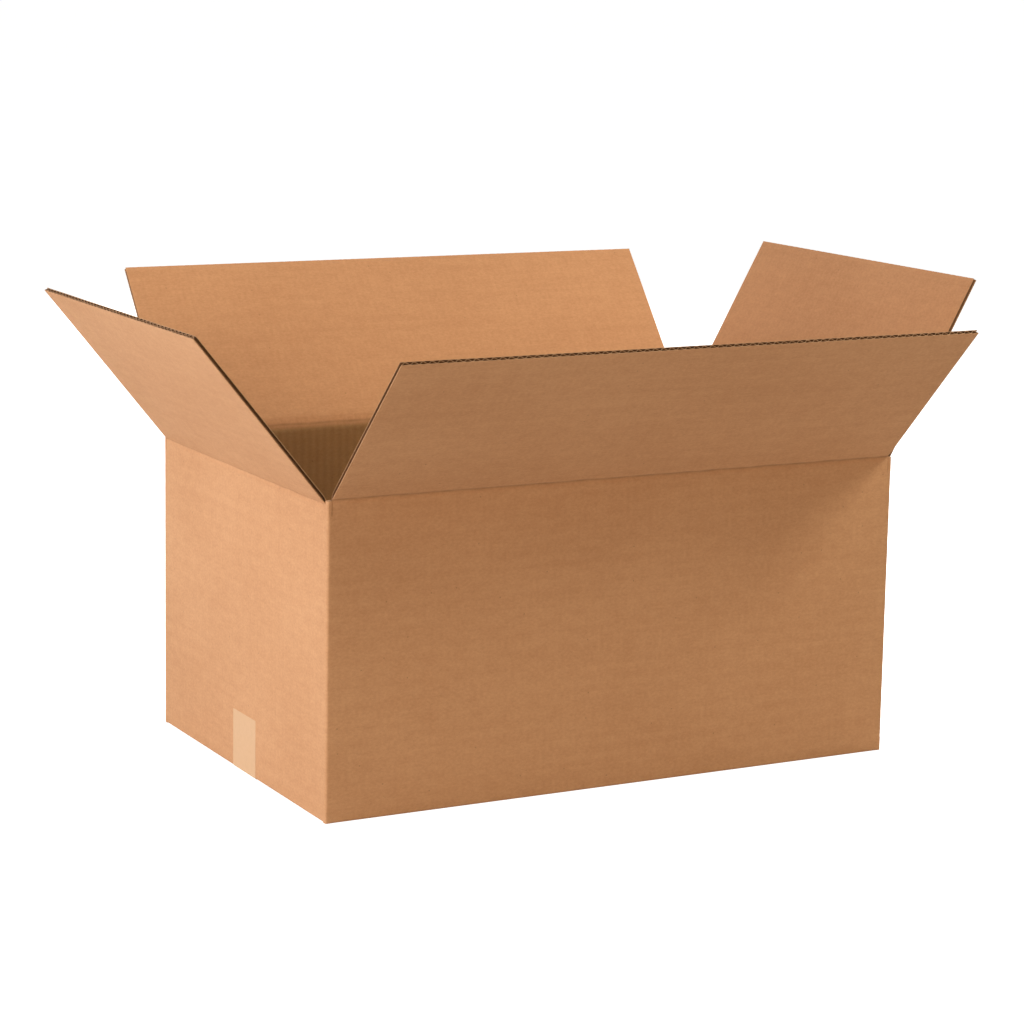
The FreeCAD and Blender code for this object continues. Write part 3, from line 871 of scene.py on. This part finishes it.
def build_box():
    """Walls, corners, bottom flaps and tab, in one piece."""
    mesh = SheetMesh()
    ring(mesh, spaced(WALL_FOOT, WALL_TOP, WALL_ROW), BACK_CUT_GROOVE)
    long_top = LONG_FLAP_INSET - SLOT_CLEARANCE
    long_foot = BOARD + STACK_GAP
    short_side = HALF_WIDTH - SHORT_FLAP_SIDE
    top_rows = np.array([WALL_TOP, SLOT_BOTTOM - BOARD, SLOT_BOTTOM])
    foot_rows = np.array([CORNER_FOOT, WALL_FOOT / 2, WALL_FOOT])
    for long_side, rows in ((long_top, top_rows), (long_foot, foot_rows)):
        corner_column(mesh, 0, long_side, short_side, rows)
        corner_column(mesh, 1, short_side, long_side, rows)
        corner_column(mesh, 2, long_side, short_side, rows)
        corner_column(mesh, 3, FOLD_RADIUS, FOLD_RADIUS, rows)
    glue_tab(mesh)
    cut_edge(mesh, CORNER_FOOT, WALL_TOP, BACK_CUT_GROOVE + BACK_CUT_OVERLAP)
    cut_edge(mesh, WALL_TOP, SLOT_BOTTOM, long_top)
    for index, name in enumerate(WALL_NAMES):
        is_long = name in ("front", "back")
        Foot(index, HALF_LENGTH - long_foot if is_long else SHORT_FLAP_SIDE, is_long).build(mesh)
    piece = mesh.make("box_shell", board_materials)
    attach(piece, "box")
    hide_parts("box_body")


def build_flap(side, half_width, sheet_middle, seed):
    """A top flap's board, and the creased strip that joins it to its wall."""
    crease = Crease(side, half_width, sheet_middle, seed)
    board = SheetMesh()
    middle_rows = spaced(FIRST_FLAP_ROW, crease.length - LAST_FLAP_ROW, FLAP_ROW)
    rows = np.concatenate([[STRIP_REACH], middle_rows, crease.length - TIP_ROWS])
    crease.fluted(board, rows, tip=crease.length)
    piece = board.make(side + "_flap_board", board_materials)
    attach(piece, side + "_flap")
    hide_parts(side + "_top_flap")

    strip = SheetMesh()
    share = np.linspace(-1, 1, STRIP_ROWS)
    rows = STRIP_REACH * np.sign(share) * np.abs(share) ** STRIP_CROWDING
    rows[0] = WALL_TOP - crease.origin.z
    crease.fluted(strip, rows)
    piece = strip.make(side + "_flap_crease", board_materials)
    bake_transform(piece)


build_box()
for seed, side in enumerate(WALL_NAMES):
    half = LONG_FLAP_SIDE if side in ("front", "back") else SHORT_FLAP_SIDE
    middle = WALL_STARTS[seed] + WALL_LENGTHS[seed] / 2
    build_flap(side, half, middle, seed + 1)

tape = bpy.data.objects["bottom_tape"]
tape.data.materials.clear()
tape.data.materials.append(tape_material())


# Camera
PICTURE_PIXELS = 1024
FOCAL_PIXELS = 2979.9
SHIFT_PIXELS = -60
SENSOR_WIDTH = 36
CAMERA_PLACE = Vector((-1.2312, -2.2696, 0.7021))
CAMERA_TURN = math.radians(28.234)
CAMERA_PITCH = math.radians(9.775)
CAMERA_ROLL = math.radians(1.042)


def set_camera():
    """The photograph's viewpoint: a long lens, a little above the box and left of its front."""
    level = Vector((math.sin(CAMERA_TURN), math.cos(CAMERA_TURN), 0))
    forward = level * math.cos(CAMERA_PITCH) - UP * math.sin(CAMERA_PITCH)
    right = level.cross(UP)
    up = right.cross(forward)
    rolled_right = right * math.cos(CAMERA_ROLL) + up * math.sin(CAMERA_ROLL)
    rolled_up = up * math.cos(CAMERA_ROLL) - right * math.sin(CAMERA_ROLL)
    data = bpy.data.cameras.new("camera")
    data.sensor_width = SENSOR_WIDTH
    data.lens = SENSOR_WIDTH * FOCAL_PIXELS / PICTURE_PIXELS
    data.shift_y = SHIFT_PIXELS / PICTURE_PIXELS
    camera = bpy.data.objects.new("camera", data)
    rotation = Matrix((rolled_right, rolled_up, -forward)).transposed().to_4x4()
    camera.matrix_world = Matrix.Translation(CAMERA_PLACE) @ rotation
    bpy.context.scene.collection.objects.link(camera)
    bpy.context.scene.camera = camera


def area_lamp(name, place, target, size, power, colour):
    data = bpy.data.lights.new(name, "AREA")
    data.shape = "RECTANGLE"
    data.size, data.size_y = size
    data.energy = power
    data.color = colour
    lamp = bpy.data.objects.new(name, data)
    lamp.location = place
    lamp.rotation_euler = (Vector(target) - Vector(place)).to_track_quat("-Z", "Y").to_euler()
    bpy.context.scene.collection.objects.link(lamp)


# Name, place, aim, width and height, watts and colour of each lamp
LAMPS = [
    ("left", (-2.0, -0.2, 0.6), (0, 0, 0.15), (1.5, 1.1), 30.2, (0.85, 0.90, 1.0)),
    ("left_front", (-1.9, -2.3, 1.1), (0, 0, 0.15), (1.2, 1.2), 22.0, (1.0, 0.70, 0.36)),
    ("high_right", (1.05, -0.95, 1.7), (0.2, -0.1, 0.2), (0.4, 0.4), 15.2, (1.0, 1.0, 0.9)),
    ("top_right", (1.2, 0.25, 1.6), (0.1, 0.1, 0.3), (0.5, 0.5), 12.5, (1.0, 0.90, 0.82)),
    ("high_left", (-1.3, 0.3, 1.7), (0.1, 0.1, 0.3), (0.5, 0.5), 7.0, (0.95, 0.95, 1.0)),
    ("back", (0.6, 3.0, 1.0), (0, 0, 0.15), (2.0, 1.2), 32.0, (1.0, 0.95, 0.88)),
    ("right", (2.3, 0.8, 0.8), (0, 0, 0.15), (1.2, 1.0), 13.0, (1.0, 0.95, 0.88)),
]
DOME_LIGHT = (0.15, 0.1425, 0.135)


def set_light():
    for lamp in LAMPS:
        area_lamp(*lamp)
    world = bpy.data.worlds.new("studio")
    bpy.context.scene.world = world
    world.use_nodes = True
    tree = world.node_tree
    tree.nodes.clear()
    output = node(tree, "ShaderNodeOutputWorld", 600)
    mixer = node(tree, "ShaderNodeMixShader", 400)
    seen = node(tree, "ShaderNodeBackground", 200, 100)
    seen.inputs["Color"].default_value = (1, 1, 1, 1)
    seen.inputs["Strength"].default_value = 1
    dome = node(tree, "ShaderNodeBackground", 200, -100)
    dome.inputs["Color"].default_value = (*DOME_LIGHT, 1)
    tree.links.new(direct_view(tree), mixer.inputs[0])
    tree.links.new(dome.outputs[0], mixer.inputs[1])
    tree.links.new(seen.outputs[0], mixer.inputs[2])
    tree.links.new(mixer.outputs[0], output.inputs[0])


def direct_view(tree):
    """1 for rays that show the background: from the camera, in gloss or through glass."""
    path = node(tree, "ShaderNodeLightPath", -600)
    first = node(tree, "ShaderNodeMath", -300, operation="MAXIMUM")
    tree.links.new(path.outputs["Is Camera Ray"], first.inputs[0])
    tree.links.new(path.outputs["Is Glossy Ray"], first.inputs[1])
    both = node(tree, "ShaderNodeMath", -100, operation="MAXIMUM")
    tree.links.new(first.outputs[0], both.inputs[0])
    tree.links.new(path.outputs["Is Transmission Ray"], both.inputs[1])
    return both.outputs[0]


# Floor
FLOOR_REACH = 150.0
FLOOR_DROP = 0.2 * MM  # below the tape
FLOOR_BOUNCE = 0.6  # grey that lights the object
FLOOR_SEEN = 0.75  # grey that the camera sees, with the glow added
FLOOR_GLOW = 0.90


def set_floor():
    """A white floor that shows as white but keeps a soft shadow."""
    mesh = bpy.data.meshes.new("floor")
    corners = [(-1, -1), (1, -1), (1, 1), (-1, 1)]
    mesh.from_pydata([(x * FLOOR_REACH, y * FLOOR_REACH, 0) for x, y in corners], [], [(0, 1, 2, 3)])
    floor = bpy.data.objects.new("floor", mesh)
    floor.location.z = -FLOOR_DROP
    bpy.context.scene.collection.objects.link(floor)
    material = bpy.data.materials.new("floor")
    material.use_nodes = True
    tree = material.node_tree
    tree.nodes.clear()
    output = node(tree, "ShaderNodeOutputMaterial", 600)
    mixer = node(tree, "ShaderNodeMixShader", 400)
    plain = node(tree, "ShaderNodeBsdfDiffuse", 0, 200)
    plain.inputs["Color"].default_value = (FLOOR_BOUNCE, FLOOR_BOUNCE, FLOOR_BOUNCE, 1)
    shaded = node(tree, "ShaderNodeBsdfDiffuse", 0, 0)
    shaded.inputs["Color"].default_value = (FLOOR_SEEN, FLOOR_SEEN, FLOOR_SEEN, 1)
    glow = node(tree, "ShaderNodeEmission", 0, -200)
    glow.inputs["Strength"].default_value = FLOOR_GLOW
    both = node(tree, "ShaderNodeAddShader", 200, -100)
    tree.links.new(shaded.outputs[0], both.inputs[0])
    tree.links.new(glow.outputs[0], both.inputs[1])
    tree.links.new(direct_view(tree), mixer.inputs[0])
    tree.links.new(plain.outputs[0], mixer.inputs[1])
    tree.links.new(both.outputs[0], mixer.inputs[2])
    tree.links.new(mixer.outputs[0], output.inputs[0])
    mesh.materials.append(material)


set_camera()
set_light()
set_floor()
bpy.context.scene.view_settings.view_transform = "Standard"
